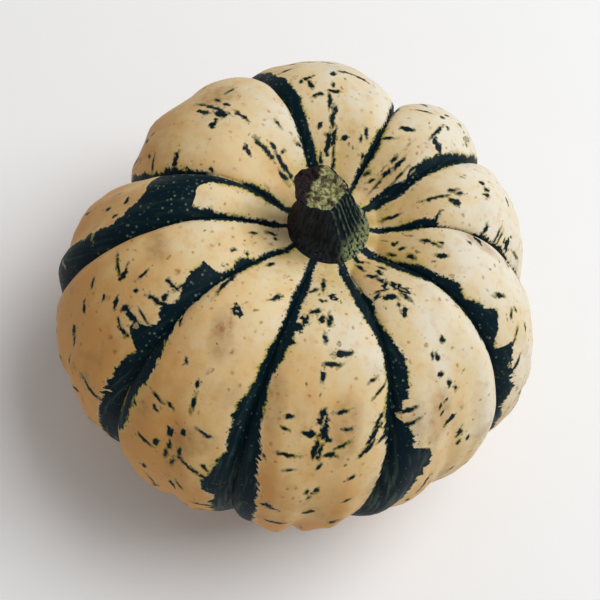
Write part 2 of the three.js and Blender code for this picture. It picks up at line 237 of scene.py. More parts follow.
BROWN_FLECKS = {
    1: [(38.5, -.66, 1.4, 1, 0), (18.5, -.38, .7, .7, 0), (22, .02, .7, .7, 0)],
    2: [(23, -.02, 2, .5, 0)],
    5: [(58, -.17, .9, .9, 0), (36, .8, .9, .9, 0)],
    6: [(58, .74, 2.6, .3, 130)],
    7: [(12.3, .2, .9, .7, 0), (36, .12, 2.6, 1, -40), (38.5, -.28, 1.4, .8, 0), (45.2, -.1, .9, .7, 0),
        (55.7, -.17, .9, .8, 0), (60.3, -.03, 1.3, .6, -75), (33, .1, 2.4, .6, -35)],
    8: [(12.8, -.4, 1, .8, 0), (25.8, -.02, .9, .7, 0), (27.6, .2, .7, .6, 0), (35.5, -.3, .9, .8, 0),
        (54, .1, 1.2, 1, 0), (69, -.1, .9, .8, 0), (58.5, -.4, .9, .8, 0), (60, -.6, .9, .8, 0)],
    10: [(38, .42, 1.5, .7, 60), (15.5, -.75, 1.2, .8, 0)],
}
# Pale islands in the dark areas, in the same coordinates.
PALE_GAPS = {
    7: [(30.7, .1, .7, .7, 0), (68, .92, 7, .8, 0), (65.5, .76, 2.6, .7, 0)],
    8: [(50.8, -.58, 1.5, 1.2, 0)],
    9: [(58, -.62, 3.5, .9, 80), (74, -.75, 2.6, 1.2, 70), (18.5, .35, 1.2, .5, 0)],
    4: [(60, .75, 1.8, 1.2, 0)],
    5: [(22, -.1, 1.4, .5, -20)],
    6: [(18, -.03, .8, .6, 0)],
    2: [(20.5, .75, 1.6, .4, 0)],
}
# Large soft patches where the ground is browner, in the same coordinates: painted shade in dips and folds of
# the ribs, and partly browner rind. They don't overlap.
SHADE_AND_STAIN_PATCHES = {
    4: [(35, -.7, 14, 5, 0)],
    5: [(57, .25, 16, 8, 10)],
    6: [(50, -.28, 17, 8, 0), (46, .72, 16, 6, 0)],
    7: [(37, .1, 13, 7, -25), (62, -.35, 12, 8, 60)],
    8: [(38, .5, 10, 7, 80)],
    10: [(45, .3, 12, 10, 0)],
}
# From this many degrees down, a rib carries scattered flecks instead of listed ones.
LISTED_DOWN_TO = {1: 47, 2: 44, 3: 60, 4: 64, 5: 76, 6: 82, 7: 90, 8: 84, 9: 76, 10: 56}
SCATTER_SEED = 11
SCATTER_DEGREES_END = 166
# One scattered fleck for each 24 square mm, taking a degree down as 0.75 mm and a rib as 20 mm wide.
SCATTER_AREA = 24
MM_PER_DEGREE, SCATTER_RIB_WIDTH = 0.75, 20
FLECK_TONES = {"dark": 1, "olive": 2, "brown": 3}
FLECK_REACH = 2.5
SHADE_AND_STAIN_REACH = 6
MARK_LAYERS = ("fleck_a", "fleck_b", "gap", "shade_and_stain")
FAR = 99.0


def smooth_step(start, end, value):
    t = np.clip((value - start) / (end - start), 0, 1)
    return t * t * (3 - 2 * t)


def mix(a, b, share):
    return a + (b - a) * share


def noise_at(points):
    """Smooth noise at each of a list of points."""
    return np.array([noise.noise(Vector(point)) for point in points])


def smooth_object(name, vertices, faces):
    mesh = bpy.data.meshes.new(name)
    mesh.from_pydata(vertices.tolist(), [], faces)
    mesh.polygons.foreach_set("use_smooth", [True] * len(faces))
    made = bpy.data.objects.new(name, mesh)
    bpy.context.collection.objects.link(made)
    return made


def store_vectors(mesh, name, domain, values):
    attribute = mesh.attributes.new(name, "FLOAT_VECTOR", domain)
    attribute.data.foreach_set("vector", np.array(values, dtype=np.float32).ravel())


# ---- The skin formula ----
def crest_height(polar):
    distance = MEAN_RADIUS * np.sin(polar) ** SIDE_FULLNESS
    hollow = STEM_HOLLOW_DEPTH * np.exp(-((distance / STEM_HOLLOW_WIDTH) ** 2))
    dimple = BLOSSOM_DIMPLE_DEPTH * np.exp(-((distance / BLOSSOM_DIMPLE_WIDTH) ** 2))
    return HALF_HEIGHT * np.cos(polar) + np.where(polar < math.pi / 2, -hollow, dimple)


def inset(polar, across, notch):
    lowness = smooth_step(0.5, 1.2, polar)
    furrow = mix(SHOULDER_FURROW, notch, lowness) * np.sin(polar) ** 0.8 + FURROW_AT_STEM
    roundness = mix(0.5, 1.2, smooth_step(1.0, 2.4, polar))
    hump = np.clip(1 - np.abs(across) ** RIB_SQUARENESS, 0, 1) ** roundness
    groove_fade = smooth_step(1.0, 1.9, polar) * (1 - smooth_step(2.5, 2.95, polar))
    groove = MID_GROOVE_DEPTH * groove_fade * np.exp(-((across / MID_GROOVE_HALF_WIDTH) ** 2))
    return furrow * (1 - hump) + groove


def furrow_azimuths(polar, rib):
    """The directions in degrees of a rib's two furrows."""
    following = (rib + 1) % RIB_COUNT
    turn = np.where(following == 0, -360, 0)
    drift = smooth_step(0.5, 2.7, polar)
    start = RIBS[rib, 0] + RIBS[rib, 1] * drift
    end = RIBS[following, 0] + RIBS[following, 1] * drift + turn
    return start, end


def skin_point(polar, rib, across):
    following = (rib + 1) % RIB_COUNT
    share = (across + 1) / 2
    start, end = furrow_azimuths(polar, rib)
    azimuth = np.radians(mix(start, end, share) + CORE_TWIST * (1 - np.sin(polar / 2)))
    valley = np.where(across < 0, RIBS[rib, 3], RIBS[following, 3])
    reach = mix(valley, RIBS[rib, 2], smooth_step(0, 1, 1 - np.abs(across)))
    depth = inset(polar, across, mix(RIBS[rib, 4], RIBS[following, 4], share))
    normal_out = HALF_HEIGHT * np.sin(polar)
    normal_up = MEAN_RADIUS * np.cos(polar)
    normal_length = np.hypot(normal_out, normal_up)
    distance = reach * np.sin(polar) ** SIDE_FULLNESS - depth * normal_out / normal_length
    height = crest_height(polar) - depth * normal_up / normal_length
    shift = np.cos(polar) ** 2 * np.where(polar < math.pi / 2, 1, CORE_SHIFT_LOWER_SHARE)
    return np.stack([
        distance * np.cos(azimuth) + CORE_SHIFT_X * shift,
        distance * np.sin(azimuth) + CORE_SHIFT_Y * shift,
        height,
    ], axis=-1)


# ---- Attributes that carry the markings ----
def fleck_distance(down_mm, across_mm, fleck):
    """Place along and across a fleck, and the distance from its edge (negative inside), all in mm."""
    fleck_down, fleck_across, length, width, turn = fleck
    angle = np.radians(turn)
    off_down, off_across = down_mm - fleck_down, across_mm - fleck_across
    along = off_down * np.cos(angle) + off_across * np.sin(angle)
    beside = off_across * np.cos(angle) - off_down * np.sin(angle)
    half_length, half_width = max(length, width) / 2, width / 2
    spare = np.maximum(np.abs(along) - (half_length - half_width), 0)
    return along, beside, np.hypot(spare, beside) - half_width


def fleck_attributes(down_mm, across_mm, flecks, reach=FLECK_REACH):
    """Per face corner: (along, beside, tone) and (half length, half width, seed) of the nearest fleck.

    down_mm and across_mm hold one rib's grid of points. A whole face shares one fleck.
    """
    rows, columns = down_mm.shape[0] - 1, down_mm.shape[1] - 1
    middle_down = (down_mm[:-1, :-1] + down_mm[1:, 1:]) / 2
    middle_across = (across_mm[:-1, :-1] + across_mm[1:, 1:]) / 2
    corner_down = corners(down_mm)
    corner_across = corners(across_mm)
    place = np.full((rows, columns, 4, 3), FAR)
    place[..., 2] = 0
    size = np.full((rows, columns, 4, 3), 0.5)
    nearest = np.full((rows, columns), float(reach))
    for number, (tone, *fleck) in enumerate(flecks):
        distance = fleck_distance(middle_down, middle_across, fleck)[2]
        chosen = distance < nearest
        nearest[chosen] = distance[chosen]
        along, beside, _ = fleck_distance(corner_down[chosen], corner_across[chosen], fleck)
        place[chosen] = np.stack([along, beside, np.full_like(along, tone)], axis=-1)
        size[chosen] = (max(fleck[2], fleck[3]) / 2, fleck[3] / 2, number % 17)
    return place, size


def corners(grid):
    """A grid of points as the four corners of each face, in winding order."""
    return np.stack([grid[:-1, :-1], grid[:-1, 1:], grid[1:, 1:], grid[1:, :-1]], axis=2)


def listed_flecks(rib_number, to_mm):
    """Every listed fleck of a rib, as (tone, down mm, across mm, length, width, turn)."""
    flecks = []
    for tone, table in (("dark", DARK_FLECKS), ("olive", OLIVE_FLECKS), ("brown", BROWN_FLECKS)):
        for down, across, *shape in table.get(rib_number, []):
            flecks.append((FLECK_TONES[tone], *to_mm(down, across), *shape))
    return flecks


def scattered_flecks(rib_number, to_mm, random):
    """Flecks for the part of a rib below its listed ones."""
    flecks = []
    start = LISTED_DOWN_TO[rib_number]
    count = int((SCATTER_DEGREES_END - start) * MM_PER_DEGREE * SCATTER_RIB_WIDTH / SCATTER_AREA)
    for _ in range(count):
        down = random.uniform(start, SCATTER_DEGREES_END)
        across = random.uniform(-0.85, 0.85)
        length = random.choice([0.9, 1.2, 1.6, 2.2, 3.0, 4.2])
        width = random.uniform(0.6, 1.2)
        turn = random.choice([0, 90]) + random.uniform(-30, 30)
        tone = FLECK_TONES[random.choice(["dark", "dark", "dark", "olive", "brown"])]
        flecks.append((tone, *to_mm(down, across), length, width, turn))
    return flecks


def split_flecks(flecks):
    """Shares flecks out over two layers, so that close neighbours lie in different ones."""
    layers = ([], [])
    for fleck in flecks:
        room = [min((math.hypot(fleck[1] - other[1], fleck[2] - other[2]) for other in layer), default=FAR)
                for layer in layers]
        layers[int(room[1] > room[0])].append(fleck)
    return layers


def stripe_widths(furrow_number, down, side):
    stations = np.array(STRIPES[furrow_number] + STRIPE_END, dtype=float)
    return np.interp(down, stations[:, 0], stations[:, 1 + side])


def fruit_grid():
    """Polar angles and places across one rib, with columns denser towards the furrows."""
    polar = np.linspace(SEAT_POLAR, math.pi, FRUIT_ROWS + 1)[:-1]
    even = np.linspace(-1, 1, CELLS_PER_RIB + 1)
    crowded = -np.cos(np.linspace(0, math.pi, CELLS_PER_RIB + 1))
    return polar, (even + crowded) / 2


def surface_normals(points):
    """Unit normals of a closed grid of points, rows down and columns clockwise."""
    along = np.gradient(points, axis=0)
    around = (np.roll(points, -1, axis=1) - np.roll(points, 1, axis=1)) / 2
    normals = np.cross(around, along)
    normals /= np.linalg.norm(normals, axis=-1, keepdims=True)
    return -normals if normals[len(points) // 2, 0] @ points[len(points) // 2, 0] < 0 else normals


# (size, height) in mm of the skin's gentle lumps, and of the folds that run down the ribs' lower part.
RELIEF_WAVES = [(13, 0.35), (5, 0.12)]
FOLD_LENGTH, FOLD_WIDTH, FOLD_HEIGHT = 26, 5, 1.1


def skin_relief(points):
    """Gentle lumps of the skin in mm, for an array of points in mm."""
    flat = points.reshape(-1, 3)
    relief = np.zeros(len(flat))
    for size, height in RELIEF_WAVES:
        relief += height * noise_at(flat / size)
    return relief.reshape(points.shape[:-1])


def rib_folds(polar, rib, across):
    """Shallow folds along each rib in mm, which fade out at the furrows and towards the stem."""
    down_mm = polar * MEAN_RADIUS
    across_mm = across * np.sin(polar) * MEAN_RADIUS * math.pi / RIB_COUNT
    places = np.stack([down_mm / FOLD_LENGTH, across_mm / FOLD_WIDTH, rib * 7.3], axis=-1).reshape(-1, 3)
    folds = noise_at(places).reshape(polar.shape)
    return FOLD_HEIGHT * folds * smooth_step(0.7, 1.3, polar) * (1 - across ** 4)


def build_fruit():
    polar, across = fruit_grid()
    ribs = np.arange(RIB_COUNT)
    polar_grid, rib_grid, across_grid = np.meshgrid(polar, ribs, across, indexing="ij")
    points = skin_point(polar_grid, rib_grid, across_grid)
    ring = points[:, :, :-1].reshape(FRUIT_ROWS, -1, 3)
    top = skin_point(np.array(0.0), np.array(0), np.array(0.0))
    bottom = skin_point(np.array(math.pi), np.array(0), np.array(0.0))

    seat_height = float(crest_height(np.array(SEAT_POLAR)))
    away = smooth_step(1.0, 1.35, np.hypot(ring[..., 0] - top[0], ring[..., 1] - top[1]) / SEAT_RADIUS)
    folds = rib_folds(polar_grid, rib_grid.astype(float), across_grid)[:, :, :-1].reshape(FRUIT_ROWS, -1)
    relief = (skin_relief(ring) + folds) * away
    ring = ring + surface_normals(ring) * relief[..., None]
    foot_height = min(ring[..., 2].min(), bottom[2]) + FOOT_TRIM
    beside = np.hypot(ring[..., 0] - top[0], ring[..., 1] - top[1])
    over_seat = (ring[..., 2] > 0) & (beside < STEM_HOLLOW_WIDTH)
    ring[..., 2] = np.maximum(ring[..., 2], np.where(over_seat, seat_height, foot_height))
    top[2] = max(top[2], seat_height)
    bottom[2] = max(bottom[2], foot_height)

    vertices = np.vstack([top[None], ring.reshape(-1, 3), bottom[None]])
    low, high = vertices.min(axis=0), vertices.max(axis=0)
    wanted_low, wanted_high = np.array(FRUIT_BOX[0]) / MM, np.array(FRUIT_BOX[1]) / MM
    offset = (wanted_low + wanted_high) / 2 - (low + high) / 2
    offset[2] = wanted_low[2] - foot_height
    vertices = (vertices + offset) * MM

    columns = RIB_COUNT * CELLS_PER_RIB
    last = len(vertices) - 1
    row_index, column_index = np.meshgrid(np.arange(FRUIT_ROWS - 1), np.arange(columns), indexing="ij")
    next_column = (column_index + 1) % columns
    here = 1 + row_index * columns
    below = here + columns
    upper = [here + column_index, here + next_column]
    lower = [below + next_column, below + column_index]
    quads = np.stack(upper + lower, axis=-1)
    fan = np.arange(columns)
    next_fan = (fan + 1) % columns
    last_ring = 1 + (FRUIT_ROWS - 1) * columns
    top_fan = np.stack([np.zeros_like(fan), 1 + next_fan, 1 + fan], axis=-1)
    bottom_fan = np.stack([np.full_like(fan, last), last_ring + fan, last_ring + next_fan], axis=-1)
    faces = [tuple(f) for f in quads.reshape(-1, 4).tolist()]
    faces += [tuple(f) for f in top_fan.tolist()] + [tuple(f) for f in bottom_fan.tolist()]

    fruit = smooth_object("squash_skin", vertices, faces)
    write_markings(fruit.data, polar, across, points)
    return fruit


def write_markings(mesh, polar, across, points):
    """Stores the skin coordinates, the stripes and the flecks on the mesh's face corners."""
    random = np.random.RandomState(SCATTER_SEED)
    down = np.degrees(polar)
    middle = CELLS_PER_RIB // 2
    layers = {name: [] for name in ("skin", "stripe")}
    for name in MARK_LAYERS:
        layers[name + "_place"], layers[name + "_size"] = [], []
    for rib in range(RIB_COUNT):
        crest = points[:, rib, middle]
        steps = np.linalg.norm(np.diff(crest, axis=0), axis=-1)
        crest_mm = np.concatenate([[0], np.cumsum(steps)])
        start, end = furrow_azimuths(polar, rib)
        half_width = np.radians(start - end) / 2 * RIBS[rib, 2] * np.sin(polar) ** SIDE_FULLNESS
        down_mm = np.repeat(crest_mm[:, None], len(across), axis=1)
        across_mm = half_width[:, None] * across[None]

        def to_mm(degrees, place):
            return np.interp(degrees, down, crest_mm), place * np.interp(degrees, down, half_width)

        first, second = rib + 1, (rib + 1) % RIB_COUNT + 1
        from_first = across_mm + half_width[:, None]
        from_second = half_width[:, None] - across_mm
        after_first = from_first - stripe_widths(first, down, 1)[:, None]
        before_second = from_second - stripe_widths(second, down, 0)[:, None]
        stripe = np.minimum(after_first, before_second)
        from_furrow = np.where(across_mm < 0, from_first, -from_second)
        down_grid = np.repeat(down[:, None], len(across), axis=1)

        flecks = listed_flecks(rib + 1, to_mm) + scattered_flecks(rib + 1, to_mm, random)
        gaps = [(1, *to_mm(gap[0], gap[1]), *gap[2:]) for gap in PALE_GAPS.get(rib + 1, [])]
        shade_and_stain_marks = [(1, *to_mm(shade_and_stain[0], shade_and_stain[1]), *shade_and_stain[2:]) for shade_and_stain in SHADE_AND_STAIN_PATCHES.get(rib + 1, [])]
        first_flecks, second_flecks = split_flecks(flecks)
        rib_number = np.full_like(down_mm, rib)
        layers["skin"].append(corners(np.stack([down_mm, across_mm, rib_number], axis=-1)))
        layers["stripe"].append(corners(np.stack([stripe, down_grid, from_furrow], axis=-1)))
        for name, marks in zip(MARK_LAYERS, (first_flecks, second_flecks, gaps, shade_and_stain_marks)):
            reach = SHADE_AND_STAIN_REACH if name == "shade_and_stain" else FLECK_REACH
            place, size = fleck_attributes(down_mm, across_mm, marks, reach)
            layers[name + "_place"].append(place)
            layers[name + "_size"].append(size)

    for name, parts in layers.items():
        grid = np.concatenate(parts, axis=1)
        top_fan = fan_values(grid[0, :, 0], grid[0, :, 1], name)
        bottom_fan = fan_values(grid[-1, :, 3], grid[-1, :, 2], name)[:, [0, 2, 1]]
        values = np.concatenate([grid.reshape(-1, 3), top_fan.reshape(-1, 3), bottom_fan.reshape(-1, 3)])
        store_vectors(mesh, name, "CORNER", values)


def fan_values(here, following, name):
    """Corner values of the triangles that close an end: the end point, the next column, this column."""
    end_point = (here + following) / 2
    if name == "stripe":
        end_point[:, 0] = 0
    return np.stack([end_point, following, here], axis=1)


# ---- Material helper ----
class Graph:
    """Short ways to add nodes to a material. Every call returns an output socket."""

    def __init__(self, name):
        self.material = bpy.data.materials.new(name)
        self.material.use_nodes = True
        self.tree = self.material.node_tree
        self.tree.nodes.clear()
        coordinates = self.node("ShaderNodeTexCoord")
        self.object_place = coordinates.outputs["Object"]
        self.object_normal = coordinates.outputs["Normal"]

    def node(self, kind, **settings):
        made = self.tree.nodes.new(kind)
        for key, value in settings.items():
            setattr(made, key, value)
        return made

    def feed(self, socket, value):
        if isinstance(value, bpy.types.NodeSocket):
            self.tree.links.new(value, socket)
        else:
            socket.default_value = value

    def math(self, operation, *values, clamp=False):
        made = self.node("ShaderNodeMath", operation=operation, use_clamp=clamp)
        for socket, value in zip(made.inputs, values):
            self.feed(socket, value)
        return made.outputs[0]

    def times(self, first, second):
        return self.math("MULTIPLY", first, second)

    def plus(self, first, second):
        return self.math("ADD", first, second)

    def minus(self, first, second):
        return self.math("SUBTRACT", first, second)

    def vector(self, operation, *values):
        made = self.node("ShaderNodeVectorMath", operation=operation)
        for socket, value in zip(made.inputs, values):
            self.feed(socket, value)
        return made.outputs["Value" if operation in ("DOT_PRODUCT", "LENGTH") else "Vector"]

    def attribute(self, name):
        return self.node("ShaderNodeAttribute", attribute_name=name).outputs["Vector"]

    def parts(self, vector):
        made = self.node("ShaderNodeSeparateXYZ")
        self.feed(made.inputs[0], vector)
        return made.outputs

    def noise(self, place, size, detail=2.0, colour=False):
        """Noise from about 0 to 1, with features of this size in the units of place."""
        made = self.node("ShaderNodeTexNoise")
        made.inputs["Scale"].default_value = 1 / size
        made.inputs["Detail"].default_value = detail
        self.feed(made.inputs["Vector"], place)
        return made.outputs["Color" if colour else "Fac"]

    def cells(self, place, size):
        """Distance from the nearest of scattered points, and that point's random colour."""
        made = self.node("ShaderNodeTexVoronoi")
        made.inputs["Scale"].default_value = 1 / size
        self.feed(made.inputs["Vector"], place)
        return made.outputs["Distance"], made.outputs["Color"]

    def ramp(self, value, start, end, low=0.0, high=1.0, smooth=True):
        made = self.node("ShaderNodeMapRange", interpolation_type="SMOOTHSTEP" if smooth else "LINEAR")
        for socket, number in zip(made.inputs, (value, start, end, low, high)):
            self.feed(socket, number)
        return made.outputs[0]

    def blend(self, share, first, second, kind="MIX"):
        made = self.node("ShaderNodeMix", data_type="RGBA", blend_type=kind)
        self.feed(made.inputs[0], share)
        for socket, colour in ((made.inputs[6], first), (made.inputs[7], second)):
            self.feed(socket, colour)
        return made.outputs[2]

    def finish(self, colour, roughness, height, bump_distance, specular):
        surface = self.node("ShaderNodeBsdfPrincipled")
        self.feed(surface.inputs["Base Color"], colour)
        self.feed(surface.inputs["Roughness"], roughness)
        surface.inputs["Specular IOR Level"].default_value = specular
        bump = self.node("ShaderNodeBump")
        bump.inputs["Distance"].default_value = bump_distance
        self.feed(bump.inputs["Height"], height)
        self.tree.links.new(bump.outputs[0], surface.inputs["Normal"])
        output = self.node("ShaderNodeOutputMaterial")
        self.tree.links.new(surface.outputs[0], output.inputs[0])
        return self.material


def srgb(red, green, blue):
    """A colour given in 0-255 screen values, as linear light."""
    def linear(value):
        value /= 255
        return value / 12.92 if value <= 0.04045 else ((value + 0.055) / 1.055) ** 2.4
    return (linear(red), linear(green), linear(blue), 1.0)


IVORY = srgb(231, 223, 202)
CREAM = srgb(230, 208, 164)
GOLD = srgb(228, 190, 130)
TAN = srgb(214, 158, 92)
SHADE_BROWN = srgb(160, 116, 68)
DARK_GREEN = srgb(1, 27, 36)
PAINTED_SHEEN_GREEN = srgb(74, 92, 78)
SPECKLE = srgb(112, 124, 104)
HALO = srgb(190, 178, 92)
OLIVE = srgb(92, 88, 36)
BROWN = srgb(138, 84, 48)
PORE = srgb(172, 126, 66)
SCAR = srgb(150, 122, 82)
# The ground grows paler towards the side of the key light and golden tan away from it: partly the rind's own
# sun-side colour, partly painted light and shade. Both the place on the fruit and the way the skin faces
# count;
# the way the skin faces adds painted light where it faces the key light and painted shade where it faces
# away.
PALE_AND_LIT_PLACE = (0.34, 0.27, 0.25)
PAINTED_LIGHT_FACING = (27, 22, 34)
PALE_OFFSET = -28
# (start, end, colour): the ground turns from the colour before it to this one over that range of paleness.
GROUND_STEPS = [(-41, -10, GOLD), (-10, 20, CREAM), (20, 45, IVORY)]
SKIN_SPECULAR = 0.1


def skin_material():
    g = Graph("squash_skin")
    place = g.vector("SCALE", g.object_place)
    place.node.inputs["Scale"].default_value = 1 / MM
    skin = g.attribute("skin")
    stripe, down, from_furrow = g.parts(g.attribute("stripe"))[:]

    # The ground colour: paler on the side towards the key light, partly the rind's own colour and partly
    # painted light and shade, with soft clouds, bands along the ribs and a fine mottle.
    clouds = g.noise(place, 14, 3)
    bands = g.noise(g.vector("MULTIPLY", skin, (0.05, 0.22, 3.1)), 1, 2)
    pale = g.vector("DOT_PRODUCT", place, PALE_AND_LIT_PLACE)
    # Painted light and shade: skin facing the key light turns paler, skin facing away turns golden tan.
    pale = g.plus(pale, g.vector("DOT_PRODUCT", g.object_normal, PAINTED_LIGHT_FACING))
    pale = g.plus(pale, PALE_OFFSET)
    pale = g.plus(pale, g.ramp(down, 8, 28, -22, 0))
    for cloud, weight in ((clouds, 60), (bands, 50), (g.noise(place, 4.5, 2), 36)):
        pale = g.plus(pale, g.times(g.minus(cloud, 0.5), weight))
    ground = TAN
    for start, end, colour in GROUND_STEPS:
        ground = g.blend(g.ramp(pale, start, end, smooth=False), ground, colour)
    mottle = g.noise(place, 2.0, 3)
    ground = g.blend(g.ramp(mottle, 0.5, 0.72, 0, 0.3), ground, TAN)
    # Painted shade: clouds of shade brown, stronger lower down the fruit.
    painted_shade_clouds = g.times(g.ramp(g.noise(place, 7, 3), 0.54, 0.74), g.ramp(down, 30, 60, 0.1, 0.4))
    ground = g.blend(painted_shade_clouds, ground, SHADE_BROWN)
    # Painted shade and browner rind: large soft patches of shade brown at the listed places.
    along, beside, _ = g.parts(g.attribute("shade_and_stain_place"))[:]
    half_length, half_width, _ = g.parts(g.attribute("shade_and_stain_size"))[:]
    along = g.math("POWER", g.math("DIVIDE", along, half_length), 2.0)
    beside = g.math("POWER", g.math("DIVIDE", beside, half_width), 2.0)
    uneven = g.times(g.minus(clouds, 0.5), 1.5)
    shade_and_stain = g.plus(g.plus(along, beside), uneven)
    shade_and_stain = g.times(g.ramp(shade_and_stain, 0.0, 1.1, 0.55, 0), g.ramp(mottle, 0.35, 0.65, 0.6, 1))
    ground = g.blend(shade_and_stain, ground, SHADE_BROWN)

    # Pores: small orange-brown dots, denser near the stem.
    pore_place = g.vector("ADD", place, g.noise(place, 1.4, 1, colour=True))
    distance, chance = g.cells(pore_place, 2.0)
    chance = g.parts(chance)[0]
    pore_limit = g.ramp(down, 15, 50, 0.2, 0.7)
    pore = g.times(g.ramp(distance, 0.1, 0.28, 1, 0), g.math("GREATER_THAN", chance, pore_limit))
    pore = g.times(pore, g.ramp(chance, 0.3, 1, 0.3, 0.75))
    ground = g.blend(pore, ground, PORE)

    # A yellow-green tinge beside the stem, and scattered yellow-green specks.
    tinge = g.times(g.ramp(down, 8, 24, 0.35, 0), g.ramp(g.noise(place, 4, 2), 0.4, 0.6))
    ground = g.blend(tinge, ground, HALO)
    distance, chance = g.cells(g.vector("ADD", place, (40, 0, 0)), 2.8)
    speck_chance = g.ramp(g.parts(chance)[1], 0.6, 0.9, 0, 0.6)
    speck = g.times(g.ramp(distance, 0.08, 0.2, 1, 0), speck_chance)
    ground = g.blend(speck, ground, HALO)

    # The edges of the stripes wander and grow teeth, which slant down as they leave the furrow.
    growth = g.ramp(down, 15, 75, 0.22, 1.4)
    slanted = g.times(g.math("ABSOLUTE", from_furrow), -0.6)
    slant = g.node("ShaderNodeCombineXYZ")
    g.feed(slant.inputs[0], slanted)
    leaning = g.vector("ADD", skin, slant.outputs[0])
    teeth = g.noise(g.vector("MULTIPLY", leaning, (1.0, 0.28, 5.3)), 1, 4)
    calm = g.ramp(g.noise(g.vector("MULTIPLY", skin, (0.16, 0.05, 9.1)), 1, 2), 0.35, 0.65, 0.4, 1.5)
    waver = g.times(g.times(g.minus(teeth, 0.5), growth), calm)
    bays = g.minus(g.noise(g.vector("MULTIPLY", skin, (0.3, 0.2, 2.9)), 1, 1), 0.5)
    bays = g.times(g.times(bays, growth), 1.8)
    waver = g.plus(g.times(waver, 3.2), bays)
    frayed = g.times(g.minus(g.noise(place, 0.6, 2), 0.5), 1.3)
    stripe_edge = g.plus(stripe, g.plus(waver, frayed))

    # The flecks: ovals whose outline is pushed about.
    warp = g.parts(g.noise(place, 1.25, 2, colour=True))
    swelling = g.ramp(warp[2], 0.35, 0.65, 0.65, 1.25)
    edges = {}
    for name in ("fleck_a", "fleck_b", "gap"):
        along, beside, tone = g.parts(g.attribute(name + "_place"))[:]
        half_length, half_width, _ = g.parts(g.attribute(name + "_size"))[:]
        along = g.plus(along, g.times(g.minus(warp[0], 0.5), 1.6))
        sideways = g.times(g.minus(warp[1], 0.5), g.times(half_width, 2.6))
        beside = g.plus(beside, sideways)
        spare = g.math("DIVIDE", g.times(along, half_width), g.times(half_length, 1.1))
        reach = g.math("SQRT", g.plus(g.math("POWER", spare, 2.0), g.math("POWER", beside, 2.0)))
        edges[name] = (g.minus(reach, g.times(half_width, swelling)), tone)
    gap_edge = edges.pop("gap")[0]
    fleck_edge = FAR
    for edge, tone in edges.values():
        not_dark = g.math("GREATER_THAN", tone, FLECK_TONES["dark"] + 0.5)
        fleck_edge = g.math("MINIMUM", fleck_edge, g.plus(edge, g.times(not_dark, FAR)))

    # A yellow-green rim along parts of the dark edges, and crumbs of dark green beside them.
    nearest_dark = g.math("MINIMUM", stripe_edge, g.plus(fleck_edge, 0.4))
    rim = g.ramp(nearest_dark, 0.1, 1.0, 1, 0)
    rim_kind = g.ramp(g.noise(place, 8, 1), 0.45, 0.58)
    rim = g.times(rim, g.plus(0.4, g.times(rim_kind, 0.35)))
    ground = g.blend(rim, ground, g.blend(rim_kind, IVORY, HALO))
    fringe = g.ramp(g.math("MINIMUM", stripe_edge, fleck_edge), 0.05, 0.4, 0.65, 0)
    ground = g.blend(fringe, ground, OLIVE)
    distance, chance = g.cells(g.vector("ADD", place, (0, 30, 0)), 1.0)
    crumb = g.times(g.ramp(distance, 0.12, 0.3, 1, 0), g.ramp(g.parts(chance)[0], 0.6, 0.8))
    crumb = g.times(crumb, g.ramp(nearest_dark, 0.4, 1.9, 0.9, 0))
    ground = g.blend(crumb, ground, OLIVE)

    # The dark areas: near-black green, with pale speckles, and grey-green streaks of painted sheen lower
    # down.
    streaks = g.noise(g.vector("MULTIPLY", skin, (0.12, 1.1, 3.7)), 1, 2)
    sheen = g.times(g.ramp(streaks, 0.5, 0.7), g.ramp(down, 50, 85, 0.12, 0.75))
    dark = g.blend(sheen, DARK_GREEN, PAINTED_SHEEN_GREEN)
    distance, chance = g.cells(place, 1.1)
    speckle_chance = g.ramp(g.parts(chance)[1], 0.25, 1, 0.05, 1)
    speckle = g.times(g.ramp(distance, 0.14, 0.36, 0.9, 0), speckle_chance)
    speckle = g.times(speckle, g.ramp(down, 45, 65, 1, 0.25))
    dark = g.blend(g.times(speckle, g.ramp(stripe_edge, -0.6, -1.6)), dark, SPECKLE)

    kept = g.ramp(gap_edge, -0.12, 0.12)
    worn = g.ramp(g.noise(place, 0.7, 2), 0.4, 0.6)
    colour = ground
    for edge, tone in edges.values():
        olive = g.math("COMPARE", tone, FLECK_TONES["olive"], 0.4)
        brown = g.math("COMPARE", tone, FLECK_TONES["brown"], 0.4)
        fleck_colour = g.blend(olive, DARK_GREEN, OLIVE)
        fleck_colour = g.blend(brown, fleck_colour, BROWN)
        faint = g.plus(g.times(olive, 0.35), g.times(brown, 0.5))
        faint = g.times(faint, g.plus(worn, 0.5))
        strength = g.minus(1.0, faint)
        soft = g.plus(0.12, g.times(brown, 0.3))
        shape = g.times(g.ramp(edge, g.times(soft, -1.0), soft, 1, 0), kept)
        colour = g.blend(g.times(shape, strength), colour, fleck_colour)
    covered = g.times(g.ramp(stripe_edge, -0.12, 0.12, 1, 0), kept)
    colour = g.blend(covered, colour, dark)

    # The blossom scar underneath.
    scar = g.ramp(down, 172, 175)
    colour = g.blend(scar, colour, SCAR)

    roughness = g.plus(0.42, g.times(mottle, 0.2))
    roughness = g.plus(roughness, g.times(scar, 0.3))
    height = g.plus(g.times(g.noise(place, 1.1, 2), 0.06), g.times(clouds, 0.3))
    height = g.minus(height, g.times(pore, 0.05))
    height = g.minus(height, g.times(covered, 0.03))
    return g.finish(colour, roughness, height, MM, SKIN_SPECULAR)


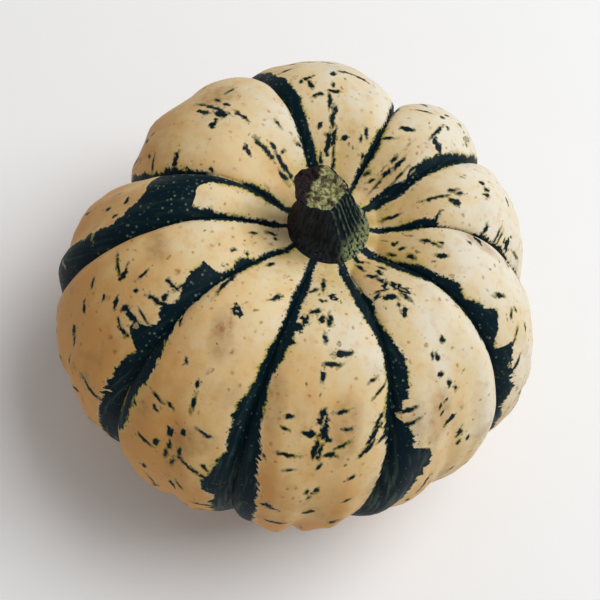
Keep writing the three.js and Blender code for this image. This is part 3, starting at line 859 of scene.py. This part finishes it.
# ---- The stem stub ----
STEM_HEIGHT = 17
STEM_FOOT_RADIUS, STEM_NECK_RADIUS, STEM_TOP_RADIUS = 9.7, 7, 5.4
STEM_FLARE_HEIGHT = 3.5
STEM_LEAN_X, STEM_LEAN_Y = -4.5, -0.8
STEM_CUT_SLOPE = 0.1
STEM_RIDGES, STEM_RIDGE_HEIGHT, STEM_RIDGE_START = 5, 0.06, 20
FINE_RIDGES, FINE_RIDGE_HEIGHT = 29, 0.2
RIDGED_DIRECTION = math.radians(10)
STEM_ROWS, STEM_COLUMNS, CUT_RINGS = 110, 306, 26
# The cut end, in mm: how far its middle is sunk, how high and how wide its lumps are, and how far its rim
# lies below the CAD solid's.
CUT_SUNK, CUT_ROUGHNESS, CUT_LUMP_SIZE, RIM_LOWERED = 1.3, 0.9, 1.6, 0.7
BARK_WAVE_SIZE = (2.2, 2.2, 6)
BARK_WAVE_HEIGHT = 0.35


def fine_ridge(share, angle):
    """The stem's narrow ridges, from -1 in the grooves to 1 on the crests."""
    return np.cos(FINE_RIDGES * angle + 1.6 * np.sin(3 * angle) + 1.8 * share)


def stem_centre(share):
    return np.array([STEM_LEAN_X * share ** 1.4, STEM_LEAN_Y * share ** 1.4, STEM_HEIGHT * share])


def stem_ring(share, angle, width=1.0):
    """Points of the stem's side at a share of its height; width below 1 gives rings across its cut end."""
    flare = (STEM_FOOT_RADIUS - STEM_NECK_RADIUS) * np.exp(-STEM_HEIGHT * share / STEM_FLARE_HEIGHT)
    radius = mix(STEM_NECK_RADIUS, STEM_TOP_RADIUS, share) + flare
    ridge = np.cos(STEM_RIDGES * (angle - math.radians(STEM_RIDGE_START)))
    fade = smooth_step(0, 0.15, share)
    ridged = mix(0.25, 1, smooth_step(0.2, 0.8, np.cos(angle - RIDGED_DIRECTION)))
    worn = 1 - 0.7 * smooth_step(0.85, 1, share)
    fine = FINE_RIDGE_HEIGHT * (fine_ridge(share, angle) - 1) * ridged * worn
    reach = (radius * (1 + STEM_RIDGE_HEIGHT * ridge * fade) + fine * fade) * width
    slope = STEM_CUT_SLOPE * reach * np.cos(angle) * smooth_step(0.5, 1, share)
    level = np.stack([reach * np.cos(angle), reach * np.sin(angle), slope], axis=-1)
    return stem_centre(share) + level


def build_stem():
    angle = -np.linspace(0, 2 * math.pi, STEM_COLUMNS + 1)[:-1]
    rings = []
    for width in np.linspace(0, 1, CUT_RINGS + 1)[1:]:
        ring = stem_ring(1.0, angle, width)
        sunk = CUT_SUNK * (1 - smooth_step(0.5, 0.95, width))
        rough = noise_at(ring / CUT_LUMP_SIZE)
        lumpy = smooth_step(0.05, 0.3, 1 - abs(width - 0.5))
        ring[:, 2] += CUT_ROUGHNESS * rough * lumpy - sunk - RIM_LOWERED
        rings.append(ring)
    for row in range(1, STEM_ROWS + 1):
        share = 1 - row / STEM_ROWS
        ring = stem_ring(share, angle)
        waver = noise_at(ring / BARK_WAVE_SIZE)
        outward = ring - stem_centre(share)
        outward[:, 2] = 0
        outward /= np.linalg.norm(outward, axis=1, keepdims=True)
        ring = ring + outward * (BARK_WAVE_HEIGHT * waver * smooth_step(0, 0.1, share))[:, None]
        ring[:, 2] -= RIM_LOWERED * smooth_step(0.9, 1, share)
        rings.append(ring)
    grid = np.array(rings)
    rows = len(grid)
    top = grid[0].mean(axis=0)
    bottom = np.array([0.0, 0.0, 0.0])
    vertices = np.vstack([top[None], grid.reshape(-1, 3), bottom[None]])
    wanted_low, wanted_high = np.array(STEM_BOX[0]) / MM, np.array(STEM_BOX[1]) / MM
    low, high = grid.reshape(-1, 3).min(axis=0), grid.reshape(-1, 3).max(axis=0)
    offset = (wanted_low + wanted_high) / 2 - (low + high) / 2
    offset[2] = wanted_low[2]
    vertices = (vertices + offset) * MM
    faces = []

    def at(row, column):
        return 1 + row * STEM_COLUMNS + column % STEM_COLUMNS

    for column in range(STEM_COLUMNS):
        faces.append((0, at(0, column + 1), at(0, column)))
        for row in range(rows - 1):
            faces.append((at(row, column), at(row, column + 1), at(row + 1, column + 1), at(row + 1, column)))
        faces.append((len(vertices) - 1, at(rows - 1, column), at(rows - 1, column + 1)))
    stem = smooth_object("stem_bark", vertices, faces)
    # How far up the stem each point is, how far across the cut, and how high on a fine ridge.
    values = [(1.0, 0.0, 0.0)]
    for row in range(rows):
        share = 1.0 if row < CUT_RINGS else 1 - (row - CUT_RINGS + 1) / STEM_ROWS
        width = (row + 1) / CUT_RINGS if row < CUT_RINGS else 2.0
        values += [(share, width, height) for height in fine_ridge(share, angle)]
    values.append((0.0, 2.0, 0.0))
    store_vectors(stem.data, "stem", "POINT", values)
    ways = np.stack([np.cos(angle), np.sin(angle), 0 * angle], axis=-1)
    ways = np.concatenate([np.zeros((1, 3)), np.tile(ways, (rows, 1)), np.zeros((1, 3))])
    store_vectors(stem.data, "stem_way", "POINT", ways)
    return stem


BARK_BLACK = srgb(12, 19, 30)
BARK_BLUE = srgb(44, 51, 60)
BARK_BROWN = srgb(58, 44, 44)
LIT_RIDGE_GREEN = srgb(80, 102, 86)
RIDGE_SHADE_DARK = srgb(7, 27, 35)
FOOT_GREEN = srgb(138, 148, 108)
CUT_GREEN = srgb(112, 118, 74)
CUT_YELLOW = srgb(186, 180, 128)
CUT_PURPLE = srgb(76, 50, 50)
CUT_BROWN = srgb(24, 19, 22)
CUT_RUST = srgb(50, 36, 36)
LIT_SIDE = (0.97, 0.17, 0)
BROWN_SIDE = (-0.9, 0.4, 0)
SHADED_CUT_BELOW_X = -5.8
BARK_SPECULAR = 0.15


def stem_material():
    g = Graph("stem_bark")
    place = g.vector("SCALE", g.object_place)
    place.node.inputs["Scale"].default_value = 1 / MM
    up, across, ridge = g.parts(g.attribute("stem"))[:]
    way = g.attribute("stem_way")
    fibres = g.noise(g.vector("MULTIPLY", place, (1.0, 1.0, 0.15)), 0.7, 3)
    patches = g.noise(place, 2.6, 3)
    patch_shift = g.times(g.minus(patches, 0.5), 1.2)
    bark = g.blend(g.ramp(fibres, 0.35, 0.65), BARK_BLACK, BARK_BLUE)
    bark = g.blend(g.ramp(patches, 0.6, 0.8, 0, 0.2), bark, BARK_BROWN)
    brown_side = g.plus(g.vector("DOT_PRODUCT", way, BROWN_SIDE), patch_shift)
    brown_share = g.times(g.ramp(brown_side, 0.4, 0.9), g.ramp(fibres, 0.35, 0.6, 0.3, 0.9))
    bark = g.blend(brown_share, bark, BARK_BROWN)
    # Painted light on the side towards the key light, partly the stem's own green: ridge crests lighter
    # green, grooves dark, and a light green foot.
    lit = g.ramp(g.plus(ridge, g.times(g.minus(fibres, 0.5), 5)), 0.2, 1.3)
    ridged = g.blend(lit, RIDGE_SHADE_DARK, LIT_RIDGE_GREEN)
    lit_side = g.plus(g.vector("DOT_PRODUCT", way, LIT_SIDE), g.times(patch_shift, 0.5))
    lit_side_share = g.ramp(lit_side, 0.3, 0.6)
    bark = g.blend(lit_side_share, bark, ridged)
    foot = g.times(g.ramp(up, 0.12, 0.4, 1, 0), lit_side_share)
    bark = g.blend(g.times(foot, g.ramp(fibres, 0.38, 0.55)), bark, FOOT_GREEN)
    speck = g.ramp(g.noise(place, 1.1, 2), 0.62, 0.72, 0, 0.8)
    bark = g.blend(g.times(speck, g.ramp(up, 0, 0.2, 1, 0.08)), bark, CUT_GREEN)

    # The cut end: yellow-green and torn on one side, dark brown on the other, away from the key light, where
    # the darkness is partly painted shade.
    grain = g.noise(place, 0.7, 3)
    cut = g.blend(g.ramp(grain, 0.38, 0.62), CUT_GREEN, CUT_YELLOW)
    cut = g.blend(g.ramp(g.noise(place, 1.5, 4), 0.5, 0.62, 0, 0.9), cut, CUT_PURPLE)
    shaded_cut_side = g.plus(g.parts(place)[0], g.times(patch_shift, 6))
    brown_and_shaded_cut = g.blend(g.ramp(grain, 0.35, 0.7), CUT_BROWN, CUT_RUST)
    cut = g.blend(g.ramp(shaded_cut_side, SHADED_CUT_BELOW_X - 0.7, SHADED_CUT_BELOW_X + 0.7, 1, 0), cut, brown_and_shaded_cut)
    colour = g.blend(g.ramp(across, 0.98, 1.02, 1, 0), bark, cut)

    roughness = g.plus(0.6, g.times(fibres, 0.3))
    height = g.plus(g.times(fibres, 0.4), g.times(grain, 0.5))
    return g.finish(colour, roughness, height, MM, BARK_SPECULAR)


# ---- Stage ----
def build_floor():
    bpy.ops.mesh.primitive_plane_add(size=6, location=(0, 0, CAD_BOX[0][2]))
    floor = bpy.context.object
    floor.name = "floor"
    g = Graph("floor")
    place = g.object_place
    tone = g.noise(place, 0.02, 2)
    colour = g.blend(tone, srgb(250, 250, 250), srgb(252, 252, 252))
    floor.data.materials.append(g.finish(colour, 0.9, tone, 0.0001, 0.1))
    return floor


def area_light(name, place, target, size, power):
    data = bpy.data.lights.new(name, "AREA")
    data.shape = "SQUARE"
    data.size = size
    data.energy = power
    light = bpy.data.objects.new(name, data)
    light.location = place
    light.rotation_euler = (Vector(target) - Vector(place)).to_track_quat("-Z", "Y").to_euler()
    bpy.context.collection.objects.link(light)
    return light


KEY_PLACE, KEY_TARGET = (0.53, 0.37, 1.06), (0, 0, 0.04)
KEY_SIZE, KEY_POWER = 0.9, 12
WORLD_STRENGTH = 0.3
CAMERA_TARGET = Vector((-1.17, -2.33, 38.03)) * MM
CAMERA_DISTANCE = 0.257
CAMERA_ELEVATION = math.radians(65)
CAMERA_ROLL = math.radians(-19)
CAMERA_LENS = 63.5
CAMERA_SHIFT_X, CAMERA_SHIFT_Y = 0.006, 0.006


def build_camera():
    back = Vector((0, -math.cos(CAMERA_ELEVATION), math.sin(CAMERA_ELEVATION)))
    right = Vector((1, 0, 0))
    up = back.cross(right)
    turn = Matrix.Rotation(-CAMERA_ROLL, 3, back)
    right, up = turn @ right, turn @ up
    data = bpy.data.cameras.new("camera")
    data.lens = CAMERA_LENS
    data.sensor_width = 36
    data.shift_x, data.shift_y = CAMERA_SHIFT_X, CAMERA_SHIFT_Y
    data.clip_start = 0.01
    camera = bpy.data.objects.new("camera", data)
    rotation = Matrix((right, up, back)).transposed()
    camera.matrix_world = Matrix.Translation(CAMERA_TARGET + back * CAMERA_DISTANCE) @ rotation.to_4x4()
    bpy.context.collection.objects.link(camera)
    bpy.context.scene.camera = camera


def build_world():
    world = bpy.data.worlds.new("studio")
    world.use_nodes = True
    background = world.node_tree.nodes["Background"]
    background.inputs["Color"].default_value = (1, 1, 1, 1)
    background.inputs["Strength"].default_value = WORLD_STRENGTH
    bpy.context.scene.world = world


fruit = build_fruit()
fruit.data.materials.append(skin_material())
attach(fruit, "root")
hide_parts("squash_fruit")

stem = build_stem()
stem.data.materials.append(stem_material())
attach(stem, "root")
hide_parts("stem_stub")

build_floor()
area_light("key", KEY_PLACE, KEY_TARGET, KEY_SIZE, KEY_POWER)
build_world()
build_camera()
bpy.context.scene.view_settings.view_transform = "Standard"
